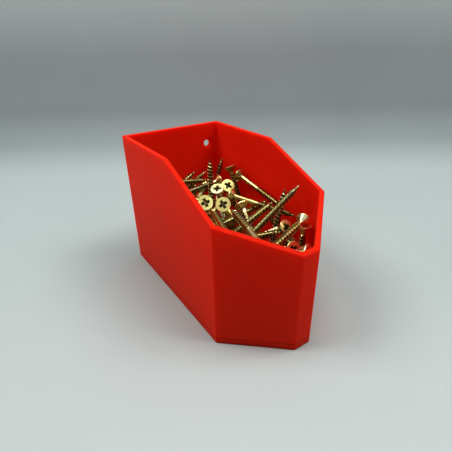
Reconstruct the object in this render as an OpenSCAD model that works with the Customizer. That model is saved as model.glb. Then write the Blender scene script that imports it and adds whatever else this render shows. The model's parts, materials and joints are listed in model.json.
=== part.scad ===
// Open-top storage bin with a pointed nose and a sloped rim, printed in one piece,
// holding a heap of loose countersunk wood screws.
// Millimetres. Origin at the middle of the base, +Z up, nose towards -Y, back wall at +Y.

/* [Bin] */
// Outside width across the two side walls
bin_w = 64; // [60:1:90]
// Outside length from the back wall to the nose
bin_l = 120; // [108:1:150]
// Height of the back wall
bin_h = 80; // [72:1:130]
// Height of the lip at the nose
lip_h = 51.5; // [46:0.5:70]
// Length of the level top edge, from the back wall to the start of the slope
level_l = 55; // [30:1:75]
// Width of the narrow face at the nose
nose_w = 9; // [6:0.5:30]
// Length that the slanted walls take up along the bin
nose_l = 24.5; // [16:0.5:36]
// Thickness of the walls
wall_t = 2.4; // [1.6:0.2:4]
// Thickness of the floor
floor_t = 3.6; // [2:0.2:6]

/* [Wall holes] */
// Diameter of the two screw holes in the back wall
hole_d = 4; // [3:0.1:5]
// Diameter of the countersink on the inside of the back wall
countersink_d = 7.6; // [6:0.1:8]
// Distance between the two holes
hole_spacing = 46; // [30:1:46]
// Depth of the hole centres under the top edge
hole_drop = 13; // [8:1:30]

/* [Screws] */
// Length over all, head included
screw_l = 40; // [30:1:44]
// Diameter of the head
head_d = 8; // [6.5:0.1:9]
// Thickness of the straight edge of the head
head_edge = 0.5; // [0.2:0.1:1]
// Outside diameter of the thread
thread_d = 4; // [3:0.1:4.5]
// Diameter of the plain neck between head and thread
neck_d = 2.9; // [2:0.1:3]
// Length of the plain neck on the part-threaded screws, from the top of the head
plain_l = 17; // [8:1:22]
// Length of the plain neck on the full-threaded screws, from the top of the head
short_neck_l = 4.5; // [4:0.1:8]
// Length of the point
point_l = 6; // [3:0.5:9]
// Width across the cross recess
recess_span = 4.6; // [3:0.1:5]
// Width of one wing of the cross recess
recess_w = 1.3; // [0.8:0.1:2]
// Depth of the cross recess
recess_deep = 2; // [1:0.1:2.5]

/* [Heap] */
// Gap that each screw keeps to what it lies on
lie_gap = 0.35; // [0.3:0.05:0.5]
// Steepest pitch of the strewn screws, in degrees
strewn_pitch = 18; // [4:1:30]
// Height up to which screws lie in rows
row_level = 30; // [24:1:50]
// Height up to which screws lie strewn over the rows
strewn_level = 47; // [34:1:60]
// Height up to which screws lie in the hollows between the ones that show
top_level = 51; // [34:1:60]
// Height up to which screws lie on the left, in front of the long side wall
left_level = 56; // [34:1:60]

/* [Hidden] */
$fn = 48;
cut = 1;                                  // how far a cutter runs past the face it cuts
bore_l = 0.5;                             // shortest straight stretch of a wall hole
head_r = head_d / 2;
thread_r = thread_d / 2;
neck_r = neck_d / 2;
head_t = head_edge + head_r - neck_r;     // a 90 degree cone under the straight edge
nose_y = -bin_l / 2;
back_y = bin_l / 2;
inside_w = bin_w / 2 - wall_t;            // half the inside width
inside_l = bin_l / 2 - wall_t;            // half the inside length

// Outline of the bin seen from above, anticlockwise from the right of the nose
OUTLINE = [
    [nose_w / 2, nose_y],
    [bin_w / 2, nose_y + nose_l],
    [bin_w / 2, back_y],
    [-bin_w / 2, back_y],
    [-bin_w / 2, nose_y + nose_l],
    [-nose_w / 2, nose_y]
];

// Inward normal of the wall that starts at outline point i
function inward(i) =
    let (n = len(OUTLINE), d = OUTLINE[(i + 1) % n] - OUTLINE[i])
    [-d.y, d.x] / norm(d);

// The outline moved inwards by t
function inset(t) =
    let (n = len(OUTLINE))
    [for (i = [0:n - 1])
        let (a = inward((i + n - 1) % n), b = inward(i))
        OUTLINE[i] + t * (a + b) / (1 + a * b)];

// The heap. A screw is [name, head, aim, turn, plain neck or not]; for the resting rule its shape
// is a ball round the head and a round-ended bar along the thread
far = 1000;
tiny = 0.001;
ball_in = 1.2;                            // depth of the ball's centre under the head's top
rim_in = 0.28;                            // how far the rim of the head reaches into the gap
ball_r = norm([head_r, ball_in]) - rim_in;
bar_end = 2.1;                            // how far the bar stops short of the point
function ball(g) = g[1] + g[2] * ball_in;
function bar(g) = g[1] + g[2] * (screw_l - bar_end);
function moved(g, v) = [g[0], g[1] + v, g[2], g[3], g[4]];
function flat(p) = [p.x, p.y];
function part(x) = x - floor(x);
golden = 0.618;
function sway(k, most) = most * (2 * part(k * golden) - 1);
function aim(heading, pitch) =
    [cos(pitch) * cos(heading), cos(pitch) * sin(heading), sin(pitch)];

// Top over the origin of a ball, and of a round-ended bar from p to q
function ball_top(p, r) =
    let (s = r * r - p.x * p.x - p.y * p.y)
    s > 0 ? p.z + sqrt(s) : -far;
function bar_top(p, q, r) =
    let (d = q - p, l = norm(d), u = d / l, pu = -(p * u),
         a = 1 - u.z * u.z,
         b = -p.z - pu * u.z,
         c = p * p - pu * pu - r * r,
         s = b * b - a * c,
         z = a > tiny && s > 0 ? (sqrt(s) - b) / a : -far,
         t = pu + z * u.z)
    max(ball_top(p, r), ball_top(q, r), t > 0 && t < l ? z : -far);

// Top over the origin of the flat face between two crossing bars, with edges a and b from p
function face_top(p, a, b, r) =
    let (c = cross(a, b), k = norm(c), n = c.z < 0 ? -c / k : c / k)
    k < 1 || n.z < tiny ? -far :
    let (z = (r + n * p) / n.z,
         s = [0, 0, z] - r * n - p,
         i = cross(s, b) * c / (k * k),
         j = cross(a, s) * c / (k * k))
    i > 0 && i < 1 && j > 0 && j < 1 ? z : -far;

// Heights by which screw g has to rise to rest on screw h: head on head, head on bar,
// bar on head, bar on bar
function near(a, b, p, q) = abs(a + b - p - q) < abs(b - a) + abs(q - p) + 4 * ball_r + 2 * lie_gap;
function rises(g, h) =
    let (p = ball(g), q = bar(g), m = ball(h), n = bar(h),
         thick = ball_r + thread_r + lie_gap,
         thin = thread_d + lie_gap)
    !near(m.x, n.x, p.x, q.x) || !near(m.y, n.y, p.y, q.y) ? [] :
    [
        ball_top(m - p, 2 * ball_r + lie_gap),
        bar_top(m - p, n - p, thick),
        bar_top(m - p, m - q, thick),
        max(bar_top(m - p, n - p, thin),
            bar_top(m - p, m - q, thin),
            bar_top(m - q, n - q, thin),
            bar_top(n - p, n - q, thin),
            face_top(m - p, n - m, p - q, thin))
    ];
function apart(g, h) =
    let (a = rises(g, h), b = rises(h, g))
    a == [] || max(min(a[0], b[0]), min(a[1], b[2]), min(a[2], b[1]), min(a[3], b[3])) <= 0;
function clear(g, list) = len([for (h = list) if (!apart(g, h)) h]) == 0;
function floor_rise(g) =
    let (head = g[1].z - head_r * norm(flat(g[2])),
         point = g[1].z + screw_l * g[2].z)
    floor_t + lie_gap - min(head, bar(g).z - thread_r, point);

// Moves a head at h, pointing along d, in from the walls until the whole screw is inside
function inside(h, d, i = 0) =
    i == 2 * len(OUTLINE) ? h :
    let (w = i % len(OUTLINE), n = inward(w), along = n * flat(d), across = sqrt(1 - along * along),
         room = n * (flat(h) - OUTLINE[w]) - wall_t - lie_gap,
         need = max(head_r * across, thread_r * across - along * screw_l))
    inside(room < need ? h + (need - room) * [n.x, n.y, 0] : h, d, i + 1);
function laid(name, x, y, z, heading, pitch, turn, plain) =
    let (d = aim(heading, pitch)) [name, inside([x, y, z], d), d, turn, plain];

// Drops screws on the heap one by one, and leaves out those that would lie above the level
// or touch a kept place
function dropped(list, heap, kept, level, i = 0) =
    i == len(list) ? heap :
    let (s = list[i],
         g = moved(s, [0, 0, max([floor_rise(s), each [for (h = heap) each rises(s, h)]])]),
         top = max(ball(g).z, bar(g).z) + thread_r)
    dropped(list, top < level && clear(g, kept) ? concat(heap, [g]) : heap, kept, level, i + 1);

// Keeps each screw at its place, or above the earlier ones where that place is taken
function placed(list, kept = [], i = 0) =
    i == len(list) ? kept :
    let (g = list[i],
         up = clear(g, kept) ? 0 : max([for (h = kept) each rises(g, h)]))
    placed(list, concat(kept, [moved(g, [0, 0, up])]), i + 1);

// Lets each kept screw sink straight down from its place until it rests
function sunk(kept, heap, i = 0) =
    i == len(kept) ? heap :
    let (g = kept[i],
         above = [for (k = [i + 1:1:len(kept) - 1]) kept[k]],
         falls = [for (h = concat(heap, above)) each [for (z = rises(g, h)) if (z < tiny) z]])
    sunk(kept, concat(heap, [moved(g, [0, 0, max([min(0, floor_rise(g)), each falls])])]), i + 1);

// Buried screws in rows along the bin, with two rows across in front of them,
// heads turned about from one to the next and each layer half a step aside
row_w = 2 * (inside_w - head_r - lie_gap);
row_slack = 0.1;                          // least room to spare between two rows
columns = floor(row_w / (ball_r + thread_r + lie_gap + row_slack) + 0.5);
row_step = row_w / (columns - 0.5);
stagger = 5;                              // how far the heads of one layer sit from the next one's
bay_step = screw_l + stagger + lie_gap;
bays = floor((2 * inside_l - nose_l) / bay_step);
dip = -asin(thread_r / screw_l);          // lying on the head's edge, the point hangs a little
across_shift = 8;                         // how far the rows across sit to either side
turn_step = 37;                           // turn of the recess from one screw to the next
plain_each = 3;                           // one screw in so many has the long plain neck
function row(name, layer) =
    let (aside = layer % 2 - 0.5,
         front_y = inside_l - bays * bay_step - row_step)
    [for (bay = [0:bays - 1], c = [0:columns - 1])
        let (k = c + columns * (bay + bays * layer),
             turn = c % 2 * 2 - 1,
             y = inside_l - (bay + 0.5) * bay_step + stagger * aside)
        laid(name, (c - (columns - 1) / 2 + aside / 2) * row_step, y - turn * screw_l / 2, 0,
            90 * turn, dip, turn_step * k, k % plain_each == 0),
     for (c = [0, 1])
        let (k = c + layer, turn = k % 2 * 2 - 1)
        laid(name, -turn * (screw_l / 2 - across_shift), front_y - c * row_step, 0,
            90 - 90 * turn, dip, turn_step * k, k % plain_each == 0)];

// Screws strewn over the rows, between two places along the bin and two across it. Heading, pitch,
// place and turn step on from one to the next by shares that hardly ever come round to the same value
strewn_tries = 240;
heading_step = 0.571;
pitch_step = 3;
along_step = 1.22;
recess_step = 0.45;
function strewn(name, from, front, back, left = -inside_w, right = inside_w) =
    [for (k = [from:from + strewn_tries - 1])
        let (heading = 360 * part(k * heading_step),
             pitch = sway(k * pitch_step, strewn_pitch),
             half = aim(heading, pitch) * screw_l / 2,
             x = (left + right) / 2 + sway(k, (right - left) / 2),
             y = (front + back) / 2 + sway(k * along_step, (back - front) / 2))
        laid(name, x - half.x, y - half.y, 0, heading, pitch, 90 * part(k * recess_step),
            k % plain_each == 0)];

// Screws that show, from the deepest to the highest: name, place of the head over the middle of
// the floor, heading (0 to the right, 90 to the back), pitch (up towards the point), turn of the
// recess, plain neck or not. The places are for this half width and half length inside
places_w = 29.6;
places_l = 57.6;
PLACES = [
    ["nose_wall_screw", [25, -31, 44], -136, -84, 20, false],
    ["upright_screw", [8.5, 31.5, 28], 60, 88, 0, false],
    ["back_corner_screw", [13.5, 47, 24.5], -1, 70, 0, false],
    ["steep_screw", [13.5, -18, 21.5], 2, 76, 0, false],
    ["head_up_screw", [25, 34, 58], -79, -66, 30, false],
    ["nose_screw", [8, -42, 43.5], 88, -30, 25, false],
    ["ring_head_screw", [15.5, -28.5, 47], 104, -36, 10, false],
    ["inner_face_screw", [16, 24, 50], 75, -40, 50, false],
    ["tilted_face_screw", [7, 22, 52], 40, -64, 10, false],
    ["left_face_screw", [-11.5, 4, 54], 62, -32, 20, false],
    ["right_face_screw", [-4, -1, 53], 50, -36, 35, false],
    ["front_face_screw", [8, -1, 49], -104, -32, 5, false],
    ["middle_screw", [10.5, 12.5, 50], -64, -6, 15, true],
    ["long_shank_screw", [25, 25, 56.5], -87, -12, 40, true],
    ["middle_point_screw", [-19.5, 49.5, 36], -6, 32, 0, false],
    ["left_point_screw", [-27.5, 42, 43], 12, 22, 0, true],
    ["lower_side_screw", [18, 36.5, 50.5], 177, -7, 0, false],
    ["upper_side_screw", [-26, 43, 56], -3, -8, 0, false],
    ["crossing_screw", [-17.5, -15.5, 39.5], 3, 20, 0, false],
    ["long_crossing_screw", [-6.5, -22.5, 43], -4, 35, 0, false]
];
KEPT = placed([for (s = PLACES)
    laid(s[0], s[1].x * inside_w / places_w, s[1].y * inside_l / places_l, s[1].z,
        s[2], s[3], s[4], s[5])]);
ROWS = ["bottom_row_screws", "second_row_screws", "third_row_screws"];
STREWN = ["lower_strewn_screws", "back_strewn_screws", "right_strewn_screws", "front_strewn_screws",
    "left_strewn_screws"];
right_from = -0.7 * inside_l;             // the right part of the heap, along the bin
right_to = 0.6 * inside_l;
left_edge = -0.4 * inside_w;              // the left part of the heap ends here
rows = dropped([for (i = [0:len(ROWS) - 1]) each row(ROWS[i], i)], [], KEPT, row_level);
lower = dropped(strewn(STREWN[0], 2400, -inside_l, inside_l), rows, KEPT, strewn_level - 2 * thread_d);
back = dropped(strewn(STREWN[1], 300, 0, inside_l), lower, KEPT, strewn_level);
right = dropped(strewn(STREWN[2], 1500, right_from, right_to, 0), back, KEPT, top_level);
shown = sunk(KEPT, right);
front = dropped(strewn(STREWN[3], 2400, -inside_l, 0), shown, [], top_level);
HEAP = dropped(strewn(STREWN[4], 1500, -inside_l, inside_l, -inside_w, left_edge), front, [], left_level);

function holds(name) = len([for (g = HEAP) if (g[0] == name) g]) > 0;
LOAD = [for (name = concat(ROWS, STREWN, [for (s = PLACES) s[0]])) if (holds(name)) name];

module bin_body() color("#d42a1c")
    difference() {
        linear_extrude(bin_h) polygon(OUTLINE);
        translate([0, 0, floor_t]) linear_extrude(bin_h) polygon(inset(wall_t));
        rim_slope();
        for (side = [-1, 1])
            translate([side * hole_spacing / 2, back_y, bin_h - hole_drop]) wall_hole();
    }

// Space over the sloped rim, from the end of the level edge down to the lip
module rim_slope() {
    start_y = back_y - level_l;
    fall = (bin_h - lip_h) / (start_y - nose_y);
    translate([-bin_w / 2 - cut, 0, 0]) rotate([90, 0, 90]) linear_extrude(bin_w + 2 * cut)
        polygon([
            [start_y, bin_h],
            [start_y, bin_h + cut],
            [nose_y - cut, bin_h + cut],
            [nose_y - cut, lip_h - cut * fall]
        ]);
}

// Screw hole through the back wall, countersunk from the inside
module wall_hole() {
    cone_t = min((countersink_d - hole_d) / 2, wall_t - bore_l);
    rotate([90, 0, 0]) translate([0, 0, -cut]) cylinder(d = hole_d, h = wall_t + 2 * cut);
    translate([0, -wall_t, 0]) rotate([-90, 0, 0])
        cylinder(d1 = countersink_d, d2 = hole_d, h = cone_t);
}

// Countersunk wood screw, head up with the middle of its top at the origin
module screw(plain) {
    neck_l = plain ? plain_l : short_neck_l;
    difference() {
        rotate_extrude()
            polygon([
                [0, 0],
                [head_r, 0],
                [head_r, -head_edge],
                [neck_r, -head_t],
                [neck_r, -neck_l],
                [thread_r, -neck_l - thread_r + neck_r],
                [thread_r, -screw_l + point_l],
                [0, -screw_l]
            ]);
        for (wing = [0, 90])
            rotate(wing) translate([-recess_span / 2, -recess_w / 2, -recess_deep])
                cube([recess_span, recess_w, recess_deep + cut]);
    }
}

// All screws of the heap that share one name, each where it lies
module heap_screws(name) color("#b59a4a")
    for (g = HEAP)
        if (g[0] == name)
            translate(g[1])
                rotate([0, acos(-g[2].z), atan2(-g[2].y, -g[2].x)])
                    rotate(g[3]) screw(g[4]);

bin_body();
for (name = LOAD)
    heap_screws(name);
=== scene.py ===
import json
import math
import random

import bmesh
import bpy
import numpy as np
from mathutils import Matrix, Quaternion, Vector


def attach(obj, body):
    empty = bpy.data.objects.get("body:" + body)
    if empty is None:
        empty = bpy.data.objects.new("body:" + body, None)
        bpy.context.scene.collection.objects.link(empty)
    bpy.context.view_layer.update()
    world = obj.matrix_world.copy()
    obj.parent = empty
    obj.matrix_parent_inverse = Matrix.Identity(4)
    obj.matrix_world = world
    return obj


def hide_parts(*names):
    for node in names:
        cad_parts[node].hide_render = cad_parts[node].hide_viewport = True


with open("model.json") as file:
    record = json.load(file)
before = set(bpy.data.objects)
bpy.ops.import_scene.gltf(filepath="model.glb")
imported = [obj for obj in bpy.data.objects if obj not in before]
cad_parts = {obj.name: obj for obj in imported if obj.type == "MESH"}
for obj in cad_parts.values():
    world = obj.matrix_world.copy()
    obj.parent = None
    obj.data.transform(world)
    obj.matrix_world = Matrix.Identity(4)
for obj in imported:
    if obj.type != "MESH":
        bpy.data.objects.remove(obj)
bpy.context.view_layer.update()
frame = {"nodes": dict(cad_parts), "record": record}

# A red printed storage bin full of yellow zinc plated wood screws.
# Metres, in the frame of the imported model: origin under the middle of the bin, nose towards -Y.

MM = 0.001
WELD = 0.001 * MM                 # corner points closer than this are one point
ALMOST = 0.05 * MM                # slack when corner points are sorted by where they lie

# Bin
EDGE_ROUND = 0.45 * MM            # rounding that the nozzle leaves on outer and inner edges
EDGE_STEPS = 3
EDGE_ANGLE = math.radians(20)     # edges that bend more than this are rounded
FLAT_ANGLE = math.radians(0.5)    # faces that bend less than this are one face
BIN_SHARP = math.radians(50)      # edges that bend more than this are shaded sharp
HOLE_CLEAR = 6 * MM               # edges this close to a wall hole stay crisp

# Plastic
LAYER_H = 0.2 * MM
ROAD_W = 0.45 * MM                # width of one printed road on the flat faces
UNEVEN_SCALE = 0.45 / LAYER_H     # how fast the layers differ on the way up
FLAT_FACE = (0.9, 0.98)           # upright share of the normal, from wall to flat face
LAYER_BUMP = 0.12                 # heights of the bumps, over that of the uneven layers
ROAD_BUMP = 0.3
LINE_BUMP = 0.8
FLOOR_LINE = (0.08 * MM, 0.4 * MM)    # half width of the line where the floor ends: core, edge
LINE_SHADE_SHARE = 0.6                  # how much of the painted shade in the line's groove shows on it
UNEVEN_TONE = 0.6                 # shares of layers and patches in the tone
PATCH_TONE = 0.4
DARK_RED = (0.74, 0.026, 0.0065, 1)
LIGHT_RED = (0.84, 0.032, 0.0085, 1)
# Painted shade for the groove where the solid floor ends
LINE_SHADE_RED = (0.30, 0.010, 0.003, 1)
PLASTIC_NOISE = (0.3, 0.7)        # range of the uneven layers that the roughness follows
PLASTIC_ROUGH = (0.40, 0.50)
PLASTIC_SCUFF = 0.10              # roughness that a scuff adds
GLOW_RADIUS = (1.0, 0.10, 0.04)   # how far red, green and blue spread, over the depth
GLOW_DEPTH = 8 * MM

# Zinc
ZINC_TONES = [                    # place on the tint, colour
    (0.0, (0.64, 0.57, 0.23, 1)),
    (0.30, (0.76, 0.73, 0.30, 1)),
    (0.55, (0.88, 0.86, 0.39, 1)),
    (0.76, (0.84, 0.79, 0.46, 1)),
    (1.0, (0.86, 0.86, 0.66, 1)),
]
COMMON_TINT = 0.42                # most screws have a tint near this
CLOUD_TONE = (0.92, 0.91, 0.45, 1)
CLOUD_SHARE = 0.25
# Painted shade that darkens the thread's root, the recess and the underside of the head
ROOT_PAINTED_SHADE = (0.06, 0.042, 0.018, 1)
ROOT_SHADE_SHARE = 0.92                 # how much of the painted shade shows where the level is 0
PAINTED_SHADE_END = 0.6                   # level at which the painted shade is gone
SCUFF_TONE = (0.85, 0.80, 0.66, 1)
ZINC_ROUGH = (0.24, 0.36)
FACE_WORN = (0.92, 1.0)           # wear from the head's edge to its face
FACE_ROUGH = 0.06                 # roughness that the face adds

# Screws
PITCH = 2.0 * MM
CORE_SHARE = 0.70                 # core radius over thread radius
POINT_CORE = 0.8                  # core radius over crest radius on the point, at most
CREST_IN = 0.03 * MM              # the crest stays this far inside the solid
RIDGE = [(0.0, 0.0), (0.36, 0.0), (0.5, 1.0), (0.64, 0.0)]    # place in one pitch, height of the ridge
RUN_IN = 1.4 * MM                 # length over which the ridge rises out of the neck
EXTRA_TURNS = 2                   # turns that begin or end past the thread's ends
RIM_CHAMFER = 0.14 * MM
NECK_FILLET = 0.35 * MM
FILLET_IN = 0.2                   # the fillet's middle and lower points, over its size
FILLET_DOWN = 0.6
RECESS_STEPS = [(1.0, 0.0), (0.9, 0.6), (0.5, 1.0)]           # width and depth shares of the recess
RECESS_WIDE = 1.2                 # the wings are this much wider at the top than the solid's
RECESS_NOTCH = 0.26               # place of the notch between two wings, over the recess span
NOTCH_CORNER = 1.2                # its corners on the wings lie this much further out
QUARTER_TURNS = ((1, 0), (0, 1), (-1, 0), (0, -1))            # cosine and sine of each
UNDER_HEAD = 1.5                  # this many head radii down, only the shank is left
IN_HEAD = 0.5                     # this many head radii down, the neck may begin
INNER_SHARE = 0.5                 # points within this share of the thread's radius are recess or tip
# Shade-and-wear levels of a screw's points: low levels get painted shade, and the head's face at the top
# level gets more roughness
FACE_SHADE_AND_WEAR = 1.0
RECESS_SHADE_AND_WEAR = 0.0
ROOT_SHADE_AND_WEAR = 0.08
CREST_SHADE_AND_WEAR = 0.82                 # what a full ridge adds to the root's level, so that the crest has no painted shade
RUN_IN_SHADE_AND_WEAR = 0.42                # what the neck's end adds
SHOWN_SIDES = 28
BURIED_SIDES = 16
SMOOTH_ANGLE = math.radians(38)
SEED = 40

# Stage
WALL_AWAY = 0.235                 # from the bin's middle to the back of the stage
COVE_R = 0.06
COVE_STEPS = 12
STAGE_HALF = 1.6
STAGE_H = 0.55
SHEET_SHADE_H = 0.16                    # height over which the sheet's painted shade changes
SHEET_SHADE_TONES = [                   # painted shade of the cove and wall, darkest low in the cove: place on that height, colour
    (0.0, (0.41, 0.46, 0.45, 1)),
    (0.15, (0.32, 0.36, 0.36, 1)),
    (0.40, (0.39, 0.42, 0.43, 1)),
    (0.70, (0.37, 0.39, 0.40, 1)),
    (1.0, (0.48, 0.51, 0.51, 1)),
]
# Painted light: the floor is lighter towards the front
FRONT_PAINTED_LIGHT = (0.48, 0.52, 0.51, 1)
FRONT_LIGHT_FADE = (-0.11, 0.0)         # full painted light up to the first, none past the second
SHEET_PATCH = (0.80, 0.82, 0.81, 1)

# Light
WIDE_BOX = 0.4
SMALL_BOX = 0.22
HEAP_MIDDLE = (0, 0, 0.03)
HEAP_TOP = (0, 0, 0.05)
BOXES = [                         # name, place, aim, side, watts
    ("top_box", (0, 0, 0.92), HEAP_MIDDLE, WIDE_BOX, 2.7),
    ("left_box", (-0.45, 0.28, 0.80), HEAP_MIDDLE, WIDE_BOX, 4.7),
    ("right_box", (0.36, -0.29, 0.84), HEAP_MIDDLE, WIDE_BOX, 4.9),
    ("near_box", (-0.33, -0.65, 0.66), HEAP_TOP, SMALL_BOX, 0.46),
    ("high_near_box", (-0.50, -0.42, 0.74), HEAP_TOP, SMALL_BOX, 0.38),
]
ROOM_TONE = (0.95, 1.0, 0.99, 1)
ROOM_LIGHT = 0.08

# Photograph
SENSOR = 36.0
LENS = 28.24
NEAR_CLIP = 0.01
CAMERA_AT = Vector((-0.0941, -0.1413, 0.1287))
CAMERA_AIM = Vector((0.482, 0.738, -0.472))
CAMERA_ROLL = math.radians(-1.235)
VIEW_GAMMA = 0.8                  # the photograph's contrast


# Shader nodes

def put(tree, kind, inputs=None, **settings):
    """Adds a node. An input is a plain value or an output socket of another node."""
    made = tree.nodes.new(kind)
    for name, value in settings.items():
        setattr(made, name, value)
    for name, value in (inputs or {}).items():
        if isinstance(value, bpy.types.NodeSocket):
            tree.links.new(value, made.inputs[name])
        else:
            made.inputs[name].default_value = value
    return made


def sums(tree, operation, a, b=None):
    """Output of a Math node on one or two values or sockets."""
    inputs = {0: a} if b is None else {0: a, 1: b}
    return put(tree, "ShaderNodeMath", inputs, operation=operation).outputs[0]


def spread(tree, value, low, high, to_low, to_high):
    """Output of a clamped Map Range."""
    return put(tree, "ShaderNodeMapRange", {
        "Value": value, "From Min": low, "From Max": high, "To Min": to_low, "To Max": to_high,
    }).outputs[0]


def mixed(tree, share, a, b):
    """Colour output of a Mix node."""
    return put(tree, "ShaderNodeMix", {0: share, 6: a, 7: b}, data_type="RGBA").outputs[2]


def ramped(tree, value, stops):
    """Colour output of a ramp. A stop is a place and a colour, the first at 0 and the last at 1."""
    made = put(tree, "ShaderNodeValToRGB", {"Fac": value})
    marks = made.color_ramp.elements
    marks[0].color = stops[0][1]
    marks[1].color = stops[-1][1]
    for place, colour in stops[1:-1]:
        marks.new(place).color = colour
    return made.outputs[0]


def object_place(tree):
    """Place on the object's own axes."""
    return put(tree, "ShaderNodeTexCoord").outputs["Object"]


def axes_of(tree, vector):
    """X, Y and Z of a vector, as sockets."""
    return put(tree, "ShaderNodeSeparateXYZ", {0: vector}).outputs


def new_group(name, inputs, outputs):
    """An empty shader node group with named float inputs and outputs."""
    group = bpy.data.node_groups.new(name, "ShaderNodeTree")
    for socket in inputs:
        group.interface.new_socket(socket, in_out="INPUT", socket_type="NodeSocketFloat")
    for socket in outputs:
        group.interface.new_socket(socket, in_out="OUTPUT", socket_type="NodeSocketFloat")
    return group, group.nodes.new("NodeGroupInput").outputs, group.nodes.new("NodeGroupOutput").inputs


def make_mottle_group():
    """Soft uneven patches, between Low and High."""
    noise_range = (0.32, 0.68)
    group, given, result = new_group("surface_mottle", ["Scale", "Low", "High"], ["Value"])
    noise = put(group, "ShaderNodeTexNoise", {
        "Vector": object_place(group), "Scale": given["Scale"], "Detail": 4.0,
    })
    value = spread(group, noise.outputs[0], *noise_range, given["Low"], given["High"])
    group.links.new(value, result["Value"])
    return group


def make_scuff_group():
    """Thin scuffs from handling: a mask with Amount on a scuff and 0 beside it."""
    middle = 0.5
    half_width = 0.012
    patch_scale = 0.4
    patch_range = (0.5, 0.66)
    group, given, result = new_group("handling_scuffs", ["Scale", "Amount"], ["Mask"])
    place = object_place(group)
    bent = put(group, "ShaderNodeTexNoise", {
        "Vector": place, "Scale": given["Scale"], "Detail": 2.0, "Distortion": 1.6,
    })
    line = sums(group, "ABSOLUTE", sums(group, "SUBTRACT", bent.outputs[0], middle))
    thin = spread(group, line, 0.0, half_width, 1.0, 0.0)
    patch = put(group, "ShaderNodeTexNoise", {
        "Vector": place, "Scale": sums(group, "MULTIPLY", given["Scale"], patch_scale),
    })
    where = spread(group, patch.outputs[0], *patch_range, 0.0, 1.0)
    mask = sums(group, "MULTIPLY", sums(group, "MULTIPLY", thin, where), given["Amount"])
    group.links.new(mask, result["Mask"])
    return group


MOTTLE = make_mottle_group()
SCUFFS = make_scuff_group()


def use(tree, group, inputs):
    """Output of a group with these inputs."""
    return put(tree, "ShaderNodeGroup", inputs, node_tree=group).outputs[0]


def new_material(name):
    """A material with its node tree and its Principled shader."""
    made = bpy.data.materials.new(name)
    made.use_nodes = True
    return made, made.node_tree, made.node_tree.nodes["Principled BSDF"]


def printed_red_plastic(floor_top):
    """Satin red plastic, printed in layers, with a faint groove where the solid floor ends, darkened with
    painted shade.
    """
    made, tree, shader = new_material("printed_red_plastic")
    axes = axes_of(tree, object_place(tree))
    normal = put(tree, "ShaderNodeNewGeometry").outputs["Normal"]
    upright = sums(tree, "ABSOLUTE", axes_of(tree, normal)["Z"])
    flat = spread(tree, upright, *FLAT_FACE, 0.0, 1.0)

    layer = sums(tree, "SINE", sums(tree, "MULTIPLY", axes["Z"], 2 * math.pi / LAYER_H))
    uneven = put(tree, "ShaderNodeTexNoise", {"W": axes["Z"], "Scale": UNEVEN_SCALE, "Detail": 3.0},
                 noise_dimensions="1D").outputs[0]
    along = sums(tree, "ADD", axes["X"], axes["Y"])
    road = sums(tree, "SINE", sums(tree, "MULTIPLY", along, 2 * math.pi / (ROAD_W * math.sqrt(2))))
    on_walls = sums(tree, "ADD", sums(tree, "MULTIPLY", layer, LAYER_BUMP), uneven)
    on_flats = sums(tree, "MULTIPLY", road, ROAD_BUMP)
    height = sums(tree, "ADD", sums(tree, "MULTIPLY", on_walls, sums(tree, "SUBTRACT", 1.0, flat)),
                  sums(tree, "MULTIPLY", on_flats, flat))

    off_line = sums(tree, "ABSOLUTE", sums(tree, "SUBTRACT", axes["Z"], floor_top))
    floor_line = spread(tree, off_line, *FLOOR_LINE, 1.0, 0.0)
    height = sums(tree, "SUBTRACT", height, sums(tree, "MULTIPLY", floor_line, LINE_BUMP))

    patches = use(tree, MOTTLE, {"Scale": 45.0, "Low": 0.0, "High": 1.0})
    scuffs = use(tree, SCUFFS, {"Scale": 60.0, "Amount": 0.5})
    tone = sums(tree, "ADD", sums(tree, "MULTIPLY", uneven, UNEVEN_TONE),
                sums(tree, "MULTIPLY", patches, PATCH_TONE))
    red = mixed(tree, tone, DARK_RED, LIGHT_RED)
    # Painted shade darkens the groove where the floor ends
    red = mixed(tree, sums(tree, "MULTIPLY", floor_line, LINE_SHADE_SHARE), red, LINE_SHADE_RED)
    rough = sums(tree, "ADD", spread(tree, uneven, *PLASTIC_NOISE, *PLASTIC_ROUGH),
                 sums(tree, "MULTIPLY", scuffs, PLASTIC_SCUFF))
    bump = put(tree, "ShaderNodeBump", {"Height": height, "Strength": 0.35, "Distance": 0.06 * MM})

    tree.links.new(red, shader.inputs["Base Color"])
    tree.links.new(rough, shader.inputs["Roughness"])
    tree.links.new(bump.outputs[0], shader.inputs["Normal"])
    shader.inputs["IOR"].default_value = 1.46
    shader.inputs["Specular IOR Level"].default_value = 0.05
    shader.inputs["Subsurface Weight"].default_value = 1.0
    shader.inputs["Subsurface Radius"].default_value = GLOW_RADIUS
    shader.inputs["Subsurface Scale"].default_value = GLOW_DEPTH
    return made


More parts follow.
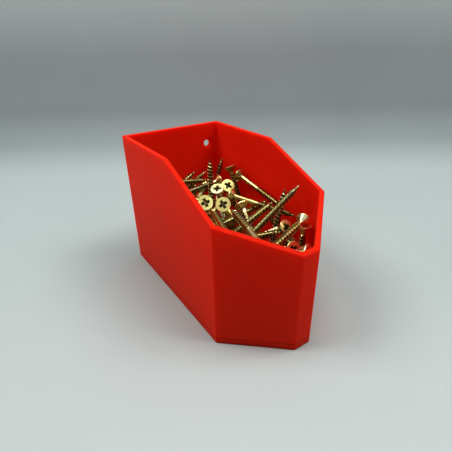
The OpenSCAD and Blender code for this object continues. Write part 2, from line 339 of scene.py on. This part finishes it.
def yellow_zinc():
    """Yellow passivated zinc on steel, from olive to pale brass, with painted shade in the thread's root,
    in the recess and under the head.
    """
    made, tree, shader = new_material("yellow_zinc")
    tint = put(tree, "ShaderNodeAttribute", attribute_name="tint").outputs["Fac"]
    worn = put(tree, "ShaderNodeAttribute", attribute_name="worn").outputs["Fac"]
    drift = use(tree, MOTTLE, {"Scale": 140.0, "Low": -0.22, "High": 0.22})
    cloud = use(tree, MOTTLE, {"Scale": 420.0, "Low": 0.0, "High": 1.0})
    scuffs = use(tree, SCUFFS, {"Scale": 500.0, "Amount": 0.8})

    zinc = ramped(tree, sums(tree, "ADD", tint, drift), ZINC_TONES)
    zinc = mixed(tree, sums(tree, "MULTIPLY", cloud, CLOUD_SHARE), zinc, CLOUD_TONE)
    # Painted shade: darker where the shade-and-wear level is low, in the thread's root, the recess and
    # under the head
    zinc = mixed(tree, spread(tree, worn, 0.0, PAINTED_SHADE_END, ROOT_SHADE_SHARE, 0.0), zinc, ROOT_PAINTED_SHADE)
    zinc = mixed(tree, scuffs, zinc, SCUFF_TONE)
    rough = sums(tree, "ADD", spread(tree, cloud, 0.0, 1.0, *ZINC_ROUGH),
                 spread(tree, worn, *FACE_WORN, 0.0, FACE_ROUGH))
    bump = put(tree, "ShaderNodeBump", {"Height": cloud, "Strength": 0.12, "Distance": 0.05 * MM})

    tree.links.new(zinc, shader.inputs["Base Color"])
    tree.links.new(rough, shader.inputs["Roughness"])
    tree.links.new(bump.outputs[0], shader.inputs["Normal"])
    shader.inputs["Metallic"].default_value = 1.0
    return made


def grey_sheet(ahead):
    """Pale matt sheet, with painted shade where it curves up behind the bin and painted light on the floor
    towards the front. Its back lets light and sight through.
    """
    made, tree, shader = new_material("grey_sheet")
    place = object_place(tree)
    # Painted shade on the sheet by height
    height = spread(tree, axes_of(tree, place)["Z"], 0.0, SHEET_SHADE_H, 0.0, 1.0)
    along = put(tree, "ShaderNodeVectorMath", {0: place, 1: ahead},
                operation="DOT_PRODUCT").outputs["Value"]
    # Painted light on the floor towards the front
    front = spread(tree, along, *FRONT_LIGHT_FADE, 1.0, 0.0)
    grey = mixed(tree, front, ramped(tree, height, SHEET_SHADE_TONES), FRONT_PAINTED_LIGHT)
    patches = use(tree, MOTTLE, {"Scale": 6.0, "Low": 0.0, "High": 0.06})
    tree.links.new(mixed(tree, patches, grey, SHEET_PATCH), shader.inputs["Base Color"])
    shader.inputs["Roughness"].default_value = 0.75
    shader.inputs["Specular IOR Level"].default_value = 0.25
    clear = put(tree, "ShaderNodeBsdfTransparent").outputs[0]
    behind = put(tree, "ShaderNodeNewGeometry").outputs["Backfacing"]
    either = put(tree, "ShaderNodeMixShader", {0: behind, 1: shader.outputs[0], 2: clear}).outputs[0]
    tree.links.new(either, tree.nodes["Material Output"].inputs["Surface"])
    return made


def new_piece(name, mesh, body, slot, *nodes):
    """Puts a finished mesh in the scene, on a CAD body and in place of CAD nodes."""
    piece = bpy.data.objects.new(name, mesh)
    bpy.context.scene.collection.objects.link(piece)
    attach(piece, body)
    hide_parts(*nodes)
    return piece


# Bin

def hole_centres():
    """Middle of each wall hole, from the record."""
    holes = [m for m in frame["record"]["mounts"] if m["kind"] == "bolt_pattern"][0]
    half = holes["dims"]["spacing_x_mm"] * MM / 2
    return [Vector(holes["pos_m"]) + Vector((side * half, 0, 0)) for side in (-1, 1)]


def round_bin():
    """The bin's solid with its edges rounded a little, as a nozzle leaves them."""
    source = frame["nodes"]["bin_body"].data
    form = bmesh.new()
    form.from_mesh(source)
    bmesh.ops.remove_doubles(form, verts=form.verts, dist=WELD)
    bmesh.ops.dissolve_limit(form, angle_limit=FLAT_ANGLE, verts=form.verts, edges=form.edges)
    centres = hole_centres()
    edges = [e for e in form.edges
             if len(e.link_faces) == 2 and e.calc_face_angle() > EDGE_ANGLE
             and all(((e.verts[0].co + e.verts[1].co) / 2 - c).length > HOLE_CLEAR for c in centres)]
    bmesh.ops.bevel(form, geom=edges, offset=EDGE_ROUND, offset_type="OFFSET", segments=EDGE_STEPS,
                    profile=0.5, affect="EDGES", clamp_overlap=True)
    for face in form.faces:
        face.smooth = True
    mesh = bpy.data.meshes.new("bin")
    form.to_mesh(mesh)
    form.free()
    mesh.set_sharp_from_angle(angle=BIN_SHARP)
    heights = sorted({round(v.co.z / MM, 1) for v in source.vertices})
    floor_top = heights[1] * MM
    mesh.materials.append(printed_red_plastic(floor_top))
    piece = new_piece("bin", mesh, "bin", "red_plastic", "bin_body")
    piece.modifiers.new("even_shading", "WEIGHTED_NORMAL").keep_sharp = True


# Screws

def solids_of(node):
    """Corner points of each separate solid in a CAD node, in metres."""
    form = bmesh.new()
    form.from_mesh(frame["nodes"][node].data)
    bmesh.ops.remove_doubles(form, verts=form.verts, dist=WELD)
    form.verts.index_update()
    form.verts.ensure_lookup_table()
    seen = [False] * len(form.verts)
    solids = []
    for start in form.verts:
        if seen[start.index]:
            continue
        seen[start.index] = True
        reached = []
        todo = [start]
        while todo:
            vert = todo.pop()
            reached.append(vert.co[:])
            for edge in vert.link_edges:
                other = edge.other_vert(vert)
                if not seen[other.index]:
                    seen[other.index] = True
                    todo.append(other)
        solids.append(np.array(reached))
    form.free()
    return solids


def measure_screw(points):
    """Where a screw lies, and the sizes of its solid. Its own frame has the middle of the head's top
    at the origin, the point along -Z and one wing of the recess along X."""
    tip = points[np.linalg.norm(points - points.mean(0), axis=1).argmax()]
    reach = np.linalg.norm(points - tip, axis=1)
    rim = points[reach > reach.max() - ALMOST]
    head = rim.mean(0)
    length = np.linalg.norm(head - tip)
    up = (head - tip) / length
    side = (rim[0] - head) / np.linalg.norm(rim[0] - head)
    across = np.cross(up, side)
    x, y, z = ((points - head) @ np.array([side, across, up]).T).T
    radius = np.hypot(x, y)
    depth = -z
    head_r = radius.max()

    top = (depth < ALMOST) & (radius < head_r - ALMOST)
    span = radius[top].max()
    ends = top & (radius > span - ALMOST)
    angle = np.arctan2(y[ends], x[ends])
    # The recess looks the same every quarter turn
    turn = np.angle(np.exp(4j * angle).sum()) / 4
    off_wing = np.abs((angle - turn + math.pi / 4) % (math.pi / 2) - math.pi / 4).mean()

    below = depth > UNDER_HEAD * head_r
    thread_r = radius[below].max()
    point_at = depth[below & (radius > thread_r - ALMOST)].max()
    inner = radius < INNER_SHARE * thread_r
    shank = (depth > IN_HEAD * head_r) & (depth < point_at) & ~inner
    neck_r = radius[shank].min()
    neck = depth[shank & (radius < neck_r + ALMOST)]
    lie = Matrix((side, across, up)).transposed().to_4x4() @ Matrix.Rotation(turn, 4, "Z")
    lie.translation = Vector(head)
    sizes = {
        "head_r": head_r,
        "edge": depth[radius > head_r - ALMOST].max(),
        "head_t": neck.min(),
        "neck_r": neck_r,
        "neck_l": neck.max(),
        "thread_r": thread_r,
        "point_at": point_at,
        "length": length,
        "recess_r": span * math.cos(off_wing),
        "recess_w": span * math.sin(off_wing),
        "recess_t": depth[inner & (depth < head_r)].max(),
    }
    return lie, sizes


def ring_of(form, radius, z, sides):
    """A ring of points round the axis."""
    return [form.verts.new((radius * math.cos(a), radius * math.sin(a), z))
            for a in (2 * math.pi * k / sides for k in range(sides))]


def join_rings(form, upper, lower):
    """A band of faces between two rings of as many points."""
    for k in range(len(upper)):
        form.faces.new((upper[k - 1], lower[k - 1], lower[k], upper[k]))


def set_shade_and_wear(verts, worn, shade_and_wear_level):
    """Gives points one shade-and-wear level, from 0, full painted shade, down in the recess to 1 on the
    head's face.
    """
    for vert in verts:
        vert[worn] = shade_and_wear_level


def add_recess(form, rim, s):
    """The flat top of the head with its cross recess, inside the rim ring. Returns the points of the
    recess's outline and those down in it."""
    reach = s["recess_r"]
    notch = RECESS_NOTCH * 2 * reach / math.sqrt(2)
    corner = NOTCH_CORNER * notch
    wing = RECESS_WIDE * s["recess_w"]
    quarter = [(reach, -wing), (reach, wing), (corner, wing), (notch, notch), (wing, corner)]
    outline = [(x * c - y * d, x * d + y * c) for c, d in QUARTER_TURNS for x, y in quarter]
    loops = [[form.verts.new((x * wide, y * wide, -deep * s["recess_t"])) for x, y in outline]
             for wide, deep in RECESS_STEPS]
    for upper, lower in zip(loops, loops[1:]):
        join_rings(form, upper, lower)
    form.faces.new(loops[-1])
    edges = [form.edges.get((a, b)) or form.edges.new((a, b))
             for loop in (rim, loops[0]) for a, b in zip(loop, loop[1:] + loop[:1])]
    bmesh.ops.triangle_fill(form, edges=edges, use_beauty=True, normal=(0, 0, 1))
    return loops[0], [vert for loop in loops[1:] for vert in loop]


def add_thread(form, worn, s, sides):
    """Core and helical ridge from the neck to the point. Rows of points follow the helix, and those
    that would run past either end lie on the end's ring, where they are welded."""
    run = s["length"] - s["neck_l"]
    turns = math.ceil(run / PITCH) + EXTRA_TURNS
    rows = turns * len(RIDGE)
    grid = []
    for row in range(rows):
        place, ridge = RIDGE[row % len(RIDGE)]
        line = []
        for k in range(sides):
            at = PITCH * (row // len(RIDGE) - 1 + place + k / sides)
            at = min(max(at, 0.0), run)
            left = (run - at) / (s["length"] - s["point_at"])
            crest_r = (s["thread_r"] - CREST_IN) * min(1.0, left)
            core_r = min(s["thread_r"] * CORE_SHARE, crest_r * POINT_CORE)
            rise = min(1.0, at / RUN_IN)
            if left > 1:
                core_r = s["neck_r"] + (core_r - s["neck_r"]) * rise
            r = core_r + max(0.0, crest_r - core_r) * ridge * rise
            a = 2 * math.pi * k / sides
            vert = form.verts.new((r * math.cos(a), r * math.sin(a), -s["neck_l"] - at))
            # Painted shade in the thread's root, none on the crest and less at the neck's end
            vert[worn] = ROOT_SHADE_AND_WEAR + CREST_SHADE_AND_WEAR * ridge * rise + RUN_IN_SHADE_AND_WEAR * (1 - rise)
            line.append(vert)
        grid.append(line)
    last = rows - 1
    for row in range(last):
        for k in range(sides):
            ahead, side = (row, k + 1) if k + 1 < sides else (min(row + len(RIDGE), last), 0)
            below = min(ahead + 1, last)
            corners = [grid[row][k], grid[row + 1][k], grid[below][side], grid[ahead][side]]
            if len(set(corners)) == 4:
                form.faces.new(corners)


def screw_form(s, sides):
    """Points, faces and shade-and-wear levels of one screw in its own frame."""
    form = bmesh.new()
    worn = form.verts.layers.float.new("worn")
    profile = [                           # radius, height, shade and wear level, low under the head for painted shade there
        (s["head_r"] - RIM_CHAMFER, 0, FACE_SHADE_AND_WEAR),
        (s["head_r"], -RIM_CHAMFER, FACE_SHADE_AND_WEAR),
        (s["head_r"], -s["edge"], 0.9),
        (s["neck_r"] + NECK_FILLET, -s["head_t"] + NECK_FILLET, 0.45),
        (s["neck_r"] + FILLET_IN * NECK_FILLET, -s["head_t"], 0.4),
        (s["neck_r"], -s["head_t"] - FILLET_DOWN * NECK_FILLET, 0.45),
        (s["neck_r"], -s["neck_l"], 0.5),
    ]
    rings = [ring_of(form, radius, z, sides) for radius, z, shade_and_wear_level in profile]
    for upper, lower in zip(rings, rings[1:]):
        join_rings(form, upper, lower)
    for ring, (radius, z, shade_and_wear_level) in zip(rings, profile):
        set_shade_and_wear(ring, worn, shade_and_wear_level)
    outline, inside = add_recess(form, rings[0], s)
    set_shade_and_wear(outline, worn, FACE_SHADE_AND_WEAR)
    # Painted shade: points down in the recess get the darkest level
    set_shade_and_wear(inside, worn, RECESS_SHADE_AND_WEAR)
    add_thread(form, worn, s, sides)
    bmesh.ops.remove_doubles(form, verts=form.verts, dist=WELD)
    loose = [v for v in form.verts if not v.link_faces]
    bmesh.ops.delete(form, geom=loose, context="VERTS")
    bmesh.ops.recalc_face_normals(form, faces=form.faces)
    form.verts.index_update()
    points = np.array([v.co[:] for v in form.verts])
    faces = [[v.index for v in f.verts] for f in form.faces]
    shade_and_wear_level = np.array([v[worn] for v in form.verts])
    form.free()
    return points, faces, shade_and_wear_level


FORMS = {}                        # finished forms, by length of neck and number of sides


def screws_piece(node, body, shown, zinc, chance):
    """All screws of one CAD node as one mesh, each threaded and tinted by itself."""
    points, faces, shade_and_wear_level, tints = [], [], [], []
    count = 0
    sides = SHOWN_SIDES if shown else BURIED_SIDES
    for solid in solids_of(node):
        lie, sizes = measure_screw(solid)
        kind = (round(sizes["neck_l"] / MM, 1), sides)
        if kind not in FORMS:
            FORMS[kind] = screw_form(sizes, sides)
        form, form_faces, form_shade_and_wear = FORMS[kind]
        quarter_turn = chance.randrange(4) * math.pi / 2
        turned = np.array(lie @ Matrix.Rotation(quarter_turn, 4, "Z"))
        points.append(form @ turned[:3, :3].T + turned[:3, 3])
        faces.extend([[i + count for i in f] for f in form_faces])
        shade_and_wear_level.append(form_shade_and_wear)
        tints.append(np.full(len(form), chance.triangular(0.0, 1.0, COMMON_TINT)))
        count += len(form)
    mesh = bpy.data.meshes.new(node.replace("_screw", "") + "_threaded")
    mesh.from_pydata(np.concatenate(points).tolist(), [], faces)
    for name, values in (("worn", shade_and_wear_level), ("tint", tints)):
        layer = mesh.attributes.new(name, "FLOAT", "POINT")
        layer.data.foreach_set("value", np.concatenate(values).astype(np.float32))
    mesh.shade_smooth()
    mesh.set_sharp_from_angle(angle=SMOOTH_ANGLE)
    mesh.materials.append(zinc)
    new_piece("threaded_" + node, mesh, body, "yellow_zinc_steel", node)


def fill_bin():
    """Every screw of the heap, node by node. Rows and the screws named lower show less, and get
    fewer sides."""
    zinc = yellow_zinc()
    chance = random.Random(SEED)
    for body, nodes in frame["record"]["behaviour"]["bodies"].items():
        for node in nodes:
            if node != "bin_body":
                screws_piece(node, body, "row" not in node and "lower" not in node, zinc, chance)


# Stage, light and camera

def add_object(name, data):
    """An object in the scene that isn't a piece of the part."""
    made = bpy.data.objects.new(name, data)
    bpy.context.scene.collection.objects.link(made)
    return made


def look_along(made, way, roll=0.0):
    """Turns a light or camera so that it looks along a direction."""
    made.rotation_mode = "QUATERNION"
    made.rotation_quaternion = way.to_track_quat("-Z", "Y") @ Quaternion((0, 0, 1), roll)


def make_stage():
    """Table top that curves up into a plain wall behind the bin, seen from the camera."""
    ahead = Vector((CAMERA_AIM.x, CAMERA_AIM.y, 0)).normalized()
    aside = Vector((ahead.y, -ahead.x, 0))
    line = [(-STAGE_HALF, 0.0)]
    for k in range(COVE_STEPS + 1):
        a = math.pi / 2 * k / COVE_STEPS
        line.append((WALL_AWAY - COVE_R + COVE_R * math.sin(a), COVE_R * (1 - math.cos(a))))
    line.append((WALL_AWAY, STAGE_H))
    points = [ahead * d + aside * side * STAGE_HALF + Vector((0, 0, z))
              for d, z in line for side in (-1, 1)]
    faces = [(2 * k, 2 * k + 1, 2 * k + 3, 2 * k + 2) for k in range(len(line) - 1)]
    mesh = bpy.data.meshes.new("stage")
    mesh.from_pydata(points, [], faces)
    mesh.shade_smooth()
    mesh.materials.append(grey_sheet(ahead))
    stage = add_object("stage", mesh)


def soft_light(name, place, aim, size, power):
    """A square soft box that looks at a point."""
    lamp = bpy.data.lights.new(name, "AREA")
    lamp.shape = "SQUARE"
    lamp.size = size
    lamp.energy = power
    box = add_object(name, lamp)
    box.location = place
    look_along(box, Vector(aim) - Vector(place))


def light_stage():
    """Wide soft boxes over the bin, at its left back and its right front, two small ones on the
    camera's side, and a faint even light from the room."""
    for box in BOXES:
        soft_light(*box)
    world = bpy.data.worlds.new("soft_room")
    world.use_nodes = True
    sky = world.node_tree.nodes["Background"].inputs
    sky["Color"].default_value = ROOM_TONE
    sky["Strength"].default_value = ROOM_LIGHT
    bpy.context.scene.world = world


def make_camera():
    """Camera at the photograph's place, fitted to the corners of the bin."""
    data = bpy.data.cameras.new("camera")
    data.sensor_width = SENSOR
    data.lens = LENS
    data.clip_start = NEAR_CLIP
    camera = add_object("camera", data)
    camera.location = CAMERA_AT
    look_along(camera, CAMERA_AIM, CAMERA_ROLL)
    bpy.context.scene.camera = camera


bpy.context.scene.view_settings.view_transform = "Standard"
bpy.context.scene.view_settings.gamma = VIEW_GAMMA
make_camera()
make_stage()
light_stage()
round_bin()
fill_bin()
